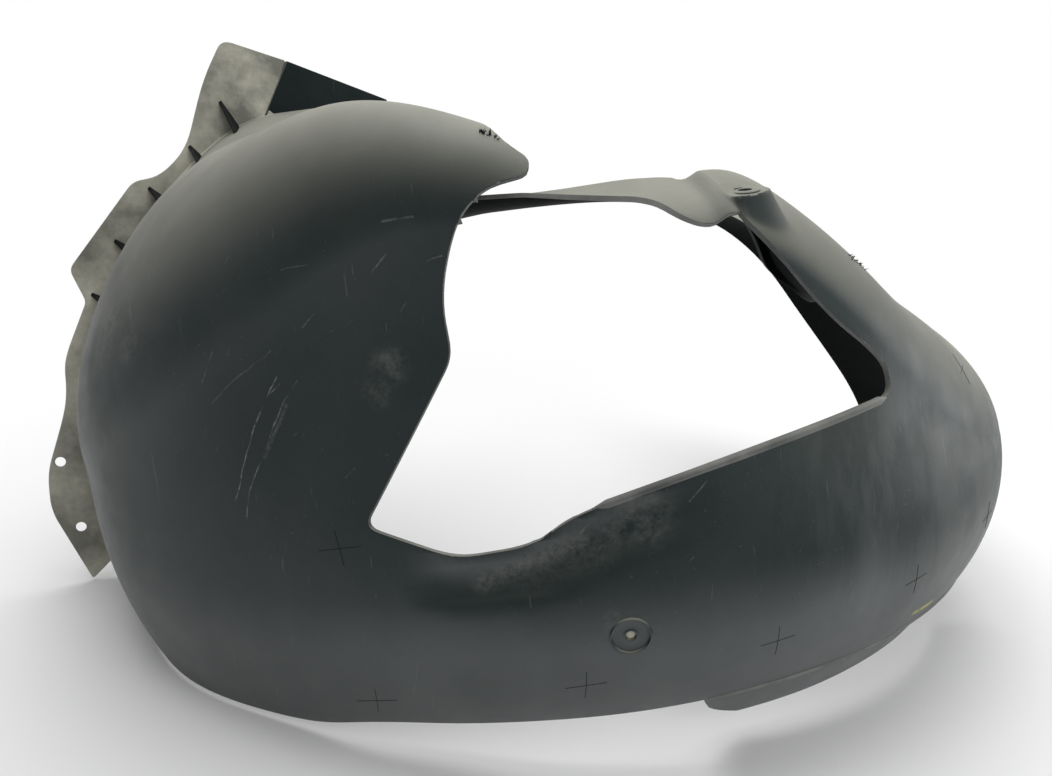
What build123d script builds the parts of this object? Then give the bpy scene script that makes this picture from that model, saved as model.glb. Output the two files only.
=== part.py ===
from build123d import *
import math
import os

# Wheel arch liner, one thin moulded shell. Millimetres.
# Design frame: wheel axis along +Z with inboard up, crown towards -Y, front of the car towards +X.
# The finished part is turned at the end so that it lies on its outboard edge.

# Shell
WALL = 3.0
TREAD_R = 334.0
RIM_Z = 20.0
RIM_RISE = 92.0
RIM_TUCK = 35.5
WALL_LEAN = 0.05
REAR_END_Y = 100.0
REAR_WALL_X = TREAD_R + 66.0
FRONT_END_Y = -22.0
FRONT_END_Z = 85.0
FRONT_END_SLOPE = 0.57
SECTION_COUNT = 29

# Plane that the part lies on: height at the wheel axis, and its rise along X and Y
REST_Z = 28.0
REST_DX = -0.145
REST_DY = 0.225

# Strut window in the crown
WINDOW_DEPTH_Y = -150.0
WINDOW_WALL = 59.0
BEAD_R = 4.0
# Heading in degrees and height of the lip along its lower edge
BEAD_STATIONS = [(-26.0, 159.0), (-17.0, 164.5), (-8.5, 168.5), (0.0, 171.0), (8.5, 172.5)]

# Strap over the window
# Heading in degrees, then inset from the tread and height of the front edge, the belly and the back edge
STRAP_STATIONS = [
    (-8.0, (11.5, 287.0), (24.0, 298.0), (45.0, 312.0)),
    (-13.0, (11.0, 303.0), (22.0, 309.0), (46.0, 318.0)),
    (-20.0, (17.5, 315.0), (32.0, 316.0), (50.0, 322.0)),
    (-27.0, (23.0, 326.0), (39.0, 320.0), (58.0, 325.0)),
    (-34.0, (11.5, 327.0), (34.0, 320.0), (58.0, 324.0)),
]

# Rear end flange, and its outer edge as distance out from the rear wall and height
FLANGE_T = 3.0
FLANGE_EDGE = [
    (36, 177), (30, 208), (5, 253), (-1, 270), (-5, 290), (-11, 302), (-34, 337), (-29, 365), (-94, 426), (-116, 427),
    (-142, 446), (-170, 500), (-194, 532), (-243, 509), (-217, 470),
]
GUSSET_T = 3.5
GUSSET_REACH = 26.0
TAB_HOLE_R = 4.0
TAB_HOLE_X = -REAR_WALL_X - 19.0
TAB_HOLE_Z = 157.0
TAB_PITCH = 57.0
BRACKET_TURN = 80.0
WING_LONG = 106.0
WING_FALL = 25.0
WING_SLANT = 32.0
WING_DEEP = 45.0

# Fixing points in the shell
RECESS_HEADING = -24.0
RECESS_Z = 88.0
RECESS_R = 10.5
RECESS_DEEP = 2.0
CLIP_HOLE_R = 2.75
BOSS_HOLE_R = 3.6
BOSS_HEADING = -5.0
BOSS_INSET = 20.0
BOSS_LEAN = 15.0
BOSS_TOP_R = 10.5
BOSS_BASE_R = 15.0
BOSS_HIGH = 14.0
BOSS_TOP_Z = 303.0

# Outboard skirt below the crown and the front foot
SKIRT_LEAN = 30.0
SKIRT_REAR = -17.0
SKIRT_FRONT = 39.0
SKIRT_DROP = 30.0
FOOT_HEADING = 64.0
FOOT_WIDE = 46.0
FOOT_HOLE_R = 4.0
FOOT_PITCH = 22.0
FOOT_HOLE_UP = 18.0

# Stations round the arch: heading in degrees, shift of the section plane along +Y, outer radius, rim height,
# tuck of the rim, inboard height, shoulder reach inward, shoulder drop, fullness, inboard band, fall of the band
STATIONS = [
    (-90.0, REAR_END_Y, REAR_WALL_X, RIM_Z, 16.0, 466.0, 222.0, 236.0, 0.35, 40.0, 0.0),
    (-90.0, REAR_END_Y / 2, REAR_WALL_X - 2.0, RIM_Z, 14.0, 446.0, 206.0, 226.0, 0.38, 40.0, 0.0),
    (-90.0, 0.0, REAR_WALL_X - 7.0, RIM_Z, 13.0, 430.0, 190.0, 212.0, 0.42, 40.0, 0.0),
    (-79.0, 0.0, TREAD_R + 50.0, RIM_Z, 15.0, 418.0, 165.0, 188.0, 0.45, 40.0, 0.0),
    (-68.0, 0.0, TREAD_R + 30.0, RIM_Z, 20.0, 411.0, 135.0, 160.0, 0.48, 40.0, 0.0),
    (-57.0, 0.0, TREAD_R + 13.0, RIM_Z + 14.0, 24.0, 406.0, 105.0, 128.0, 0.50, 40.0, 0.0),
    (-46.0, 0.0, TREAD_R + 3.0, RIM_Z + 11.0, 30.0, 401.0, 80.0, 98.0, 0.52, 40.0, 0.0),
    (-35.0, 0.0, TREAD_R, RIM_Z + 8.0, 34.0, 384.0, 60.0, 70.0, 0.55, 40.0, 0.0),
    (-24.0, 0.0, TREAD_R, RIM_Z + 4.0, RIM_TUCK, 352.0, 46.0, 50.0, 0.55, 34.0, 0.0),
    (-13.0, 0.0, TREAD_R, RIM_Z + 1.0, RIM_TUCK, 320.0, 38.0, 36.0, 0.45, 26.0, 4.0),
    (-2.0, 0.0, TREAD_R, RIM_Z - 3.0, RIM_TUCK, 315.0, 54.0, 58.0, 0.36, 16.0, 6.0),
    (9.0, 0.0, TREAD_R, RIM_Z - 7.0, RIM_TUCK, 294.0, 84.0, 104.0, 0.46, 10.0, 14.0),
    (20.0, 0.0, TREAD_R, RIM_Z - 12.0, RIM_TUCK, 260.0, 112.0, 128.0, 0.50, 6.0, 8.0),
    (31.0, 0.0, TREAD_R, RIM_Z - 17.0, RIM_TUCK, 232.0, 116.0, 124.0, 0.50, 4.0, 2.0),
    (42.0, 0.0, TREAD_R, RIM_Z - 20.0, RIM_TUCK, 214.0, 112.0, 118.0, 0.50, 4.0, 0.0),
    (53.0, 0.0, TREAD_R - 2.0, RIM_Z - 20.0, RIM_TUCK, 210.0, 106.0, 112.0, 0.50, 4.0, 0.0),
    (64.0, 0.0, TREAD_R - 7.0, RIM_Z - 18.0, RIM_TUCK, 222.0, 98.0, 110.0, 0.52, 4.0, 0.0),
    (75.0, 0.0, TREAD_R - 14.0, RIM_Z - 15.0, RIM_TUCK, 243.0, 88.0, 106.0, 0.55, 5.0, 0.0),
    (86.0, 0.0, TREAD_R - 20.0, RIM_Z - 12.0, RIM_TUCK, 260.0, 76.0, 98.0, 0.55, 6.0, 0.0),
    (97.0, 0.0, TREAD_R - 24.0, RIM_Z - 10.0, RIM_TUCK, 276.0, 64.0, 90.0, 0.55, 8.0, 0.0),
    (108.0, 0.0, TREAD_R - 25.0, RIM_Z - 10.0, RIM_TUCK, 284.0, 56.0, 82.0, 0.55, 8.0, 0.0),
    (119.0, 0.0, TREAD_R - 25.0, RIM_Z - 10.0, RIM_TUCK, 287.0, 52.0, 78.0, 0.55, 8.0, 0.0),
]


def rest_z(x, y):
    return REST_Z + REST_DX * x + REST_DY * y


def on_arch(heading, radius, height, shift=0.0):
    a = math.radians(heading)
    return Vector(radius * math.sin(a), shift - radius * math.cos(a), height)


def station_plane(heading, shift):
    a = math.radians(heading)
    return Plane(origin=(0, shift, 0), x_dir=(math.sin(a), -math.cos(a), 0), z_dir=(-math.cos(a), -math.sin(a), 0))


def rim_of(station):
    """Height of the rim and of the widest point. The rear rim follows the rest plane."""
    heading, shift, r, rim, tuck = station[:5]
    p = on_arch(heading, r - tuck, 0.0, shift)
    low = max(rim, rest_z(p.X, p.Y) + 0.5)
    return low, low + RIM_RISE


def shoulder(station, inset):
    """Control points from the wall to the inboard band, moved inward by inset."""
    r = station[2]
    top, reach, drop, full = station[5:9]
    side = r - WALL_LEAN * (top - drop - rim_of(station)[1])
    start = (side - inset, top - drop)
    lift = (side - inset, top - drop + full * (drop - inset))
    draw = (r - reach + full * (side - r + reach - inset), top - inset)
    end = (r - reach, top - inset)
    return start, lift, draw, end


def bezier_at(points, t):
    """Point on a cubic curve, and its direction."""
    w = ((1 - t) ** 3, 3 * t * (1 - t) ** 2, 3 * t * t * (1 - t), t ** 3)
    d = (-3 * (1 - t) ** 2, 3 * (1 - t) ** 2 - 6 * t * (1 - t), 6 * t * (1 - t) - 3 * t * t, 3 * t * t)
    at = (sum(k * p[0] for k, p in zip(w, points)), sum(k * p[1] for k, p in zip(w, points)))
    return at, (sum(k * p[0] for k, p in zip(d, points)), sum(k * p[1] for k, p in zip(d, points)))


def section(station):
    """Closed thin profile at one station: rim, tread, shoulder and inboard band."""
    heading, shift, r, rim, tuck, top, reach, drop, full, band, fall = station
    o = shoulder(station, 0.0)
    i = shoulder(station, WALL)
    low, wide = rim_of(station)
    bend = (RIM_RISE ** 2 + tuck ** 2) / (2 * tuck)
    turn = math.asin(RIM_RISE / bend)
    hub = r - bend
    thin = bend - WALL
    rim_o = (hub + bend * math.cos(turn), wide - bend * math.sin(turn))
    mid_o = (hub + bend * math.cos(turn / 2), wide - bend * math.sin(turn / 2))
    rim_i = (hub + thin * math.cos(turn), wide - thin * math.sin(turn))
    mid_i = (hub + thin * math.cos(turn / 2), wide - thin * math.sin(turn / 2))
    band_end = r - reach - band
    third = (o[0][1] - wide) / 3
    edges = [
        ThreePointArc(rim_o, mid_o, (r, wide)),
        Bezier((r, wide), (r, wide + third), (o[0][0], o[0][1] - third), o[0]),
        Bezier(*o),
        Line(o[3], (band_end, top - fall)),
        Line((band_end, top - fall), (band_end, top - fall - WALL)),
        Line((band_end, top - fall - WALL), i[3]),
        Bezier(i[3], i[2], i[1], i[0]),
        Bezier(i[0], (i[0][0], i[0][1] - third), (r - WALL, wide + third), (r - WALL, wide)),
        ThreePointArc((r - WALL, wide), mid_i, rim_i),
        Line(rim_i, rim_o),
    ]
    return station_plane(heading, shift) * make_face(edges)


def between(stations, count):
    """Stations spread evenly in number along a smooth run through the given ones."""
    first = [2 * a - b for a, b in zip(stations[0], stations[1])]
    last = [2 * a - b for a, b in zip(stations[-1], stations[-2])]
    row = [first] + list(stations) + [last]
    out = []
    for k in range(count):
        u = k * (len(stations) - 1) / (count - 1)
        n = min(int(u), len(stations) - 2)
        f = u - n
        w = (
            f * (1 - f) * (f - 2) / 6,
            (f + 1) * (f - 1) * (f - 2) / 2,
            (f + 1) * f * (2 - f) / 2,
            (f + 1) * f * (f - 1) / 6,
        )
        out.append(tuple(sum(wi * st[j] for wi, st in zip(w, row[n:n + 4])) for j in range(len(first))))
    return out


def prism_y(points, y0, y1, corner=0.0):
    """Outline drawn in X and Z, carried from y0 to y1."""
    plane = Plane(origin=(0, y0, 0), x_dir=(1, 0, 0), z_dir=(0, -1, 0))
    outline = make_face(Polyline(*points, close=True))
    if corner > 0:
        outline = fillet(outline.vertices(), corner)
    return extrude(plane * outline, -(y1 - y0))


def build_shell():
    shell = loft([section(st) for st in between(STATIONS, SECTION_COUNT)], ruled=True)
    far = FRONT_END_Y + (500 - FRONT_END_Z) * FRONT_END_SLOPE
    near = FRONT_END_Y - (FRONT_END_Z + 100) * FRONT_END_SLOPE
    side = Plane(origin=(150, 0, 0), x_dir=(0, 1, 0), z_dir=(1, 0, 0))
    end = make_face(Polyline((near, -100), (far, 500), (900, 500), (900, -100), close=True))
    return shell - extrude(side * end, 400)


def build_window():
    """Cut for the window. It passes the rear dome's shoulder, but only the front wall further on."""
    points = [
        (-0.174, 430), (-0.174, 300), (-0.156, 288), (-0.093, 288), (-0.027, 252), (0.036, 223), (0.096, 203),
        (0.126, 192), (0.135, 180), (0.120, 173), (-0.069, 171), (-0.398, 162), (-0.455, 159), (-0.509, 146),
        (-0.614, 147), (-0.725, 170), (-0.551, 250), (-0.545, 282), (-0.497, 319), (-0.455, 328), (-0.386, 330),
        (-0.377, 338), (-0.398, 350), (-0.398, 430),
    ]
    outline = [(TREAD_R * x, z) for x, z in points]
    deep = TREAD_R - WINDOW_WALL + WINDOW_DEPTH_Y
    behind = Pos(0.2 * TREAD_R, WINDOW_DEPTH_Y - deep / 2, 250) * Box(0.7 * TREAD_R, deep, 500)
    return prism_y(outline, -TREAD_R - 60, WINDOW_DEPTH_Y, 4.0) - behind


def build_bead():
    """Thick lip along the lower edge of the window."""
    faces = []
    for heading, z in BEAD_STATIONS:
        r = TREAD_R - WALL / 2 - WALL_LEAN * (z - RIM_Z - RIM_RISE)
        ring = [(r + BEAD_R * math.sin(k * math.pi / 3), z + BEAD_R * math.cos(k * math.pi / 3)) for k in range(6)]
        faces.append(station_plane(heading, 0) * make_face(Polyline(*ring, close=True)))
    return loft(faces)


def build_strap():
    """Arm that carries the front wall on behind the free edge of the rear dome."""
    faces = []
    for heading, front, belly, back in STRAP_STATIONS:
        over = [(TREAD_R - p[0], p[1]) for p in (front, belly, back)]
        under = [(p[0], p[1] - WALL) for p in reversed(over)]
        outline = Polyline(*over, *under, close=True)
        faces.append(station_plane(heading, 0) * make_face(outline))
    return loft(faces)


def rim_at(heading):
    """Radius and height of the rim between two stations of the curved part."""
    row = [st for st in STATIONS if st[1] == 0.0]
    after = next(n for n, st in enumerate(row) if st[0] >= heading)
    one, two = row[after - 1], row[after]
    u = (heading - one[0]) / (two[0] - one[0])
    radius = (1 - u) * (one[2] - one[4]) + u * (two[2] - two[4])
    return radius, (1 - u) * rim_of(one)[0] + u * rim_of(two)[0]


def build_skirt():
    """Lip below the crown, leaning inward from the rim."""
    faces = []
    count = 6
    for n in range(count):
        heading = SKIRT_REAR + n / (count - 1) * (SKIRT_FRONT - SKIRT_REAR)
        top, low = rim_at(heading)
        outline = Polyline(
            (top, low + WALL),
            (top - SKIRT_LEAN, low - SKIRT_DROP),
            (top - SKIRT_LEAN - WALL, low - SKIRT_DROP + 1),
            (top - WALL - 1, low + WALL + 1),
            close=True,
        )
        faces.append(station_plane(heading, 0) * make_face(outline))
    return loft(faces)


def build_foot():
    """Front fixing tab that hangs from the rim down to the rest plane."""
    radius, rim = rim_at(FOOT_HEADING)
    seat = on_arch(FOOT_HEADING, radius, 0.0)
    low = rest_z(seat.X, seat.Y)
    a = math.radians(FOOT_HEADING)
    plane = Plane(origin=seat, x_dir=(math.cos(a), math.sin(a), 0), z_dir=(math.sin(a), -math.cos(a), 0))
    half = FOOT_WIDE / 2
    top = rim + 14
    cut = FOOT_WIDE / 4
    outline = Polyline(
        (-half, top), (-half, low + cut), (-half + cut, low), (half - cut, low), (half, low + cut), (half, top),
        close=True,
    )
    plate = extrude(plane * make_face(outline), WALL)
    for x in (-FOOT_PITCH / 2, FOOT_PITCH / 2):
        plate -= plane * Pos(x, low + FOOT_HOLE_UP, 0) * Cylinder(FOOT_HOLE_R, 30)
    return plate


def rear_curve(station, t, inset):
    """Point on the shoulder of a rear station, as X, Y, Z, and its outward direction in X and Z."""
    (u, z), (du, dz) = bezier_at(shoulder(station, inset), t)
    size = math.hypot(du, dz)
    return (-u, station[1], z), (-dz / size, -du / size)


def build_rear_flange():
    inner = [rear_curve(STATIONS[0], t, WALL / 2)[0] for t in (1.0, 0.85, 0.7, 0.55, 0.4, 0.25, 0.1, 0.0)]
    corner_x = -REAR_WALL_X - 22
    points = [
        (-REAR_WALL_X + 2, rest_z(corner_x, REAR_END_Y) + 15), (corner_x, rest_z(corner_x, REAR_END_Y)),
    ]
    points += [(-REAR_WALL_X - out, z) for out, z in FLANGE_EDGE]
    points += [(p[0], p[2]) for p in inner]
    plate = prism_y(points, REAR_END_Y - FLANGE_T, REAR_END_Y)
    for z in (TAB_HOLE_Z, TAB_HOLE_Z + TAB_PITCH):
        plate -= Pos(TAB_HOLE_X, REAR_END_Y, z) * Rot(90, 0, 0) * Cylinder(TAB_HOLE_R, 30)
    mid = REAR_END_Y - FLANGE_T / 2
    top_x, top_z = -REAR_WALL_X - FLANGE_EDGE[-2][0], FLANGE_EDGE[-2][1]
    fold = Polyline(
        (top_x, mid, top_z),
        (top_x + WING_LONG, mid + BRACKET_TURN, top_z - WING_FALL),
        (top_x - WING_SLANT + WING_LONG, mid + BRACKET_TURN, top_z - WING_DEEP - WING_FALL),
        (top_x - WING_SLANT, mid, top_z - WING_DEEP),
        close=True,
    )
    wing = extrude(make_face(fold), FLANGE_T / 2, both=True)
    return plate + wing


def build_gussets():
    ribs = []
    for t, out in ((0.36, 12.0), (0.48, 15.0), (0.61, 16.0), (0.74, 14.0), (0.87, 28.0)):
        base, n = rear_curve(STATIONS[0], t, WALL / 2)
        foot, m = rear_curve(STATIONS[1], t, WALL / 2)
        s = GUSSET_REACH / (STATIONS[0][1] - STATIONS[1][1])
        y0 = REAR_END_Y - FLANGE_T / 2
        root = Vector(base[0], y0, base[2])
        tip = Vector(base[0] + out * n[0], y0, base[2] + out * n[1])
        heel = Vector(base[0] + s * (foot[0] - base[0]), y0 - GUSSET_REACH, base[2] + s * (foot[2] - base[2]))
        face = make_face(Polyline(root, tip, heel, close=True))
        ribs.append(extrude(face, GUSSET_T / 2, both=True))
    return ribs


def build_boss():
    """Screw boss that leans outward, hollow from below, and what is cut out of it."""
    top = on_arch(BOSS_HEADING, TREAD_R - BOSS_INSET, BOSS_TOP_Z)
    lean = math.radians(BOSS_LEAN)
    axis = on_arch(BOSS_HEADING, math.sin(lean), math.cos(lean))
    seat = Plane(origin=top, z_dir=axis)
    body = seat * Pos(0, 0, -BOSS_HIGH / 2) * Cone(BOSS_BASE_R, BOSS_TOP_R, BOSS_HIGH)
    pocket = extrude(seat.offset(-BOSS_HIGH - 6) * RegularPolygon(BOSS_TOP_R - 1, 8), BOSS_HIGH - WALL + 6)
    return body, pocket + seat * Cylinder(BOSS_HOLE_R, 20)


def build_recess():
    at = next(st for st in STATIONS if st[0] == RECESS_HEADING)
    bend = (RIM_RISE ** 2 + at[4] ** 2) / (2 * at[4])
    wide = rim_of(at)[1]
    turn = math.asin((wide - RECESS_Z) / bend)
    seat = on_arch(at[0], at[2] - bend + bend * math.cos(turn), RECESS_Z)
    plane = Plane(origin=seat, z_dir=on_arch(at[0], math.cos(turn), -math.sin(turn)))
    pad = extrude(plane.offset(-6.5) * RegularPolygon(RECESS_R + 4.0, 12), 5.0)
    bowl = plane * Pos(0, 0, 8.0 - RECESS_DEEP) * Cylinder(RECESS_R, 16.0)
    hole = plane * Cylinder(CLIP_HOLE_R, 40)
    return pad, bowl + hole


boss, boss_void = build_boss()
liner = build_shell() + boss - build_window()
for extra in [build_bead(), build_strap(), build_skirt(), build_foot(), build_rear_flange()] + build_gussets():
    liner += extra
liner -= boss_void
pad, clip = build_recess()
liner = liner + pad - clip

# Lay the part on its rest plane, with the origin at the bottom centre of its box
rest = Plane(origin=(0, 0, REST_Z), x_dir=(1, 0, REST_DX), z_dir=(-REST_DX, -REST_DY, 1))
liner = rest.to_local_coords(liner)
box = liner.bounding_box()
liner = Pos(-box.center().X, -box.center().Y, -box.min.Z) * liner

os.makedirs("parts", exist_ok=True)
export_step(liner, "parts/liner_shell.step")
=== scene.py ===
import math
import random

import bmesh
import bpy
import numpy as np
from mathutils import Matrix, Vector
from mathutils.geometry import normal as normal_of
from mathutils.bvhtree import BVHTree


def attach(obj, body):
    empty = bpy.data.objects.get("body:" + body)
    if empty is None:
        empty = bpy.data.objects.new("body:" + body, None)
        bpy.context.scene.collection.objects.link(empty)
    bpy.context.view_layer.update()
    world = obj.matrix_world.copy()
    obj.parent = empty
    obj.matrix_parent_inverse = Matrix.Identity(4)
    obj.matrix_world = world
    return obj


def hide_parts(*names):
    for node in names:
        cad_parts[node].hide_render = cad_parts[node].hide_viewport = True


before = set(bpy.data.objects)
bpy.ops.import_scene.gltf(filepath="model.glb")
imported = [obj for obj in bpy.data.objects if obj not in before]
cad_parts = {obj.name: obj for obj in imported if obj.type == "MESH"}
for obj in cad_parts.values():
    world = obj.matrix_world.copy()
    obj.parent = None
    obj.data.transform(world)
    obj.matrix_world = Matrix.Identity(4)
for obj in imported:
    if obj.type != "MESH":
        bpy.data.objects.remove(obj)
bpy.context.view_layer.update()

# Wheel arch liner, drawn in millimetres in its design frame: wheel axis along +Z with inboard up,
# crown towards -Y, front of the car towards +X. to_row turns it onto its outboard edge, in metres.
WALL = 3.0
TREAD_R = 334.0
RIM_Z = 20.0
RIM_RISE = 92.0
RIM_TUCK = 35.5
WALL_LEAN = 0.05
REAR_END_Y = 100.0
REAR_WALL_X = TREAD_R + 66.0
FRONT_END_Y = -22.0
FRONT_END_Z = 85.0
FRONT_END_SLOPE = 0.57
REST_Z = 28.0
REST_DX = -0.145
REST_DY = 0.225
SHIFT = np.array((79.951, 13.655, -25.507))

# Stations round the arch: heading in degrees, shift of the section plane along +Y, outer radius,
# rim height, tuck of the rim, inboard height, shoulder reach inward, shoulder drop, fullness,
# inboard band, fall of the band
STATIONS = [
    (-90.0, REAR_END_Y, REAR_WALL_X, RIM_Z, 16.0, 466.0, 222.0, 236.0, 0.35, 40.0, 0.0),
    (-90.0, REAR_END_Y / 2, REAR_WALL_X - 2.0, RIM_Z, 14.0, 446.0, 206.0, 226.0, 0.38, 40.0, 0.0),
    (-90.0, 0.0, REAR_WALL_X - 7.0, RIM_Z, 13.0, 430.0, 190.0, 212.0, 0.42, 40.0, 0.0),
    (-79.0, 0.0, TREAD_R + 50.0, RIM_Z, 15.0, 418.0, 165.0, 188.0, 0.45, 40.0, 0.0),
    (-68.0, 0.0, TREAD_R + 30.0, RIM_Z, 20.0, 411.0, 135.0, 160.0, 0.48, 40.0, 0.0),
    (-57.0, 0.0, TREAD_R + 13.0, RIM_Z + 14.0, 24.0, 406.0, 105.0, 128.0, 0.50, 40.0, 0.0),
    (-46.0, 0.0, TREAD_R + 3.0, RIM_Z + 11.0, 30.0, 401.0, 80.0, 98.0, 0.52, 40.0, 0.0),
    (-35.0, 0.0, TREAD_R, RIM_Z + 8.0, 34.0, 384.0, 60.0, 70.0, 0.55, 40.0, 0.0),
    (-24.0, 0.0, TREAD_R, RIM_Z + 4.0, RIM_TUCK, 352.0, 46.0, 50.0, 0.55, 34.0, 0.0),
    (-13.0, 0.0, TREAD_R, RIM_Z + 1.0, RIM_TUCK, 320.0, 38.0, 36.0, 0.45, 26.0, 4.0),
    (-2.0, 0.0, TREAD_R, RIM_Z - 3.0, RIM_TUCK, 315.0, 54.0, 58.0, 0.36, 16.0, 6.0),
    (9.0, 0.0, TREAD_R, RIM_Z - 7.0, RIM_TUCK, 294.0, 84.0, 104.0, 0.46, 10.0, 14.0),
    (20.0, 0.0, TREAD_R, RIM_Z - 12.0, RIM_TUCK, 260.0, 112.0, 128.0, 0.50, 6.0, 8.0),
    (31.0, 0.0, TREAD_R, RIM_Z - 17.0, RIM_TUCK, 232.0, 116.0, 124.0, 0.50, 4.0, 2.0),
    (42.0, 0.0, TREAD_R, RIM_Z - 20.0, RIM_TUCK, 214.0, 112.0, 118.0, 0.50, 4.0, 0.0),
    (53.0, 0.0, TREAD_R - 2.0, RIM_Z - 20.0, RIM_TUCK, 210.0, 106.0, 112.0, 0.50, 4.0, 0.0),
    (64.0, 0.0, TREAD_R - 7.0, RIM_Z - 18.0, RIM_TUCK, 222.0, 98.0, 110.0, 0.52, 4.0, 0.0),
    (75.0, 0.0, TREAD_R - 14.0, RIM_Z - 15.0, RIM_TUCK, 243.0, 88.0, 106.0, 0.55, 5.0, 0.0),
    (86.0, 0.0, TREAD_R - 20.0, RIM_Z - 12.0, RIM_TUCK, 266.0, 76.0, 98.0, 0.55, 6.0, 0.0),
    (97.0, 0.0, TREAD_R - 24.0, RIM_Z - 10.0, RIM_TUCK, 290.0, 64.0, 90.0, 0.55, 8.0, 0.0),
    (108.0, 0.0, TREAD_R - 25.0, RIM_Z - 10.0, RIM_TUCK, 300.0, 56.0, 82.0, 0.55, 8.0, 0.0),
    (119.0, 0.0, TREAD_R - 25.0, RIM_Z - 10.0, RIM_TUCK, 303.0, 52.0, 78.0, 0.55, 8.0, 0.0),
]
STATION_STEP = 11.0
STATION_OF_REAR = 2
COLUMNS_PER_STATION = 16
RIM_ROWS = 16
WALL_ROWS = 20
SHOULDER_ROWS = 34
BAND_ROWS = 3
RIM_BLEND = 16.0
# Slight waves in the sheet: height, inward bias, then share, waves round the arch and slant of each
WAVE = 0.8
WAVE_BIAS = 1.4
RIPPLES = [(0.55, 9, 0.021), (0.45, 17, -0.034)]
# Broken edges of the shell and of the other sheets, and how far points crowd an edge, in metres
SHELL_BREAK = 0.35
SHEET_BREAK = 0.6
EDGE_CROWD = 0.0015

# Window in the crown as X, Z and corner radius
WINDOW = [
    (-20, 430, 0), (-20, 288, 0), (-31, 288, 5), (-9, 252, 30), (12, 223, 30), (32, 203, 12), (43, 190, 8),
    (44, 178, 6), (38, 172.5, 6), (-23, 171, 40), (-128, 162.5, 20), (-150, 158, 14), (-170, 147, 14),
    (-205, 147, 10), (-242, 170, 7), (-184, 250, 8), (-182, 282, 30), (-168, 316, 16), (-152, 328, 8),
    (-130, 330, 5), (-126, 338, 3), (-133, 350, 6), (-133, 430, 0),
]
WINDOW_FRONT_Y = -150.0
WINDOW_WALL_R = 275.0
WINDOW_DOME_X = -60.0
CUT_REACH = 9.0

# Strap over the window: heading, then radius and height of its front edge, belly and back edge
STRAP_STATIONS = [
    (-5.4, (319.0, 288.0), (307.0, 301.0), (276.0, 313.5)),
    (-7.2, (320.0, 286.8), (307.5, 301.0), (280.0, 314.8)),
    (-9.0, (321.5, 286.0), (308.5, 301.5), (284.0, 316.2)),
    (-10.4, (322.0, 289.5), (309.0, 304.0), (286.5, 317.3)),
    (-11.8, (322.0, 295.0), (309.0, 306.5), (288.5, 318.0)),
    (-13.2, (322.0, 302.5), (308.5, 310.0), (289.0, 319.0)),
    (-15.0, (321.0, 307.5), (307.0, 312.0), (288.0, 320.0)),
    (-20.5, (316.0, 315.5), (302.0, 315.5), (284.0, 322.0)),
    (-25.0, (311.0, 322.5), (296.0, 318.5), (278.0, 324.5)),
    (-29.5, (311.0, 326.5), (294.0, 321.0), (274.0, 326.0)),
    (-35.0, (320.0, 327.5), (300.0, 321.0), (276.0, 325.0)),
]
STRAP_COLUMN = 155
STRAP_BLEND = 3.0
STRAP_FOOT_Z = 287.0

BEAD_R = 2.4
BEAD_STATIONS = [(-25.0, 160.0), (-17.0, 165.5), (-8.5, 169.5), (0.0, 171.6), (6.5, 172.6)]

BOSS_HEADING = -3.5
BOSS_INSET = 24.0
BOSS_LEAN = 15.0
BOSS_TOP_Z = 299.0
BOSS_HIGH = 13.0
BOSS_TOP_R = 9.5
BOSS_BASE_R = 14.0
BOSS_STRETCH = 1.5
BOSS_REACH = 36.0
BOSS_SOFT = 6.0
BOSS_SKIRT = 9.0
BOSS_FADE = 8.0
BOSS_HOLE_R = 3.6
COLLAR_R = 6.5
COLLAR_SEAT = 1.5
COLLAR_DEEP = 6.0
# Groove below the low part of the window's edge, as X and Z, with its depth and half width
GROOVE = [(-232, 138), (-205, 131), (-172, 131), (-150, 141), (-126, 148), (-80, 152)]
GROOVE_DEEP = 3.2
GROOVE_WIDE = 8.0
GROOVE_REAR_FADE = 20.0
GROOVE_FRONT_FADE = 40.0
RECESS_HEADING = -24.0
RECESS_Z = 88.0
RECESS_R = 10.5
RECESS_DEEP = 1.4
CLIP_HOLE_R = 2.75

FLANGE_T = 3.0
FLANGE_OUT = 22.0
FLANGE_TOE = 15.0
GUSSET_T = 3.0
GUSSET_REACH = 26.0
# Gussets: place along the shoulder's edge from 0 to 1, and height
GUSSETS = [(0.36, 12.0), (0.48, 15.0), (0.61, 16.0), (0.74, 14.0), (0.87, 28.0)]
ROOT_R = 2.0
TAB_HOLE_R = 4.0
TAB_HOLE_X = -REAR_WALL_X - 19.0
TAB_HOLE_Z = 157.0
TAB_PITCH = 57.0
# Outer edge of the rear flange as X, Z and corner radius
FLANGE_EDGE = [
    (-436, 177, 12), (-430, 208, 12), (-405, 253, 20), (-399, 270, 8), (-395, 290, 8),
    (-389, 302, 8), (-366, 337, 4), (-371, 365, 6), (-306, 426, 7), (-284, 427, 14),
    (-258, 446, 18), (-230, 500, 20), (-206, 532, 9), (-157, 509, 2), (-183, 470, 0),
]
# Wing folded off the flange: top and foot of the fold in X and Z, its run, radius of the fold
WING_TOP = (-157.0, 509.0)
WING_FOOT = (-189.0, 464.0)
WING_X = 106.0
WING_Y = 80.0
WING_Z = -25.0
FOLD_R = 1.9

SKIRT_LEAN = 30.0
SKIRT_REAR = -17.0
SKIRT_FRONT = 39.0
SKIRT_DROP = 30.0
SKIRT_TAPER = 5.0
RIM_BEAD_R = 1.1
FOOT_HEADING = 64.0
FOOT_WIDE = 46.0
FOOT_HOLE_R = 4.0
FOOT_PITCH = 22.0
FOOT_HOLE_UP = 18.0
FOOT_LAP = 14.0

# Moulded grid crosses on the crown, as X and Z
CROSSES = [(-256, 160), (-256, 60), (-156, 60), (-56, 60), (44, 60), (144, 60), (144, 160)]
CROSS_ARM = 10.0
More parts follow.
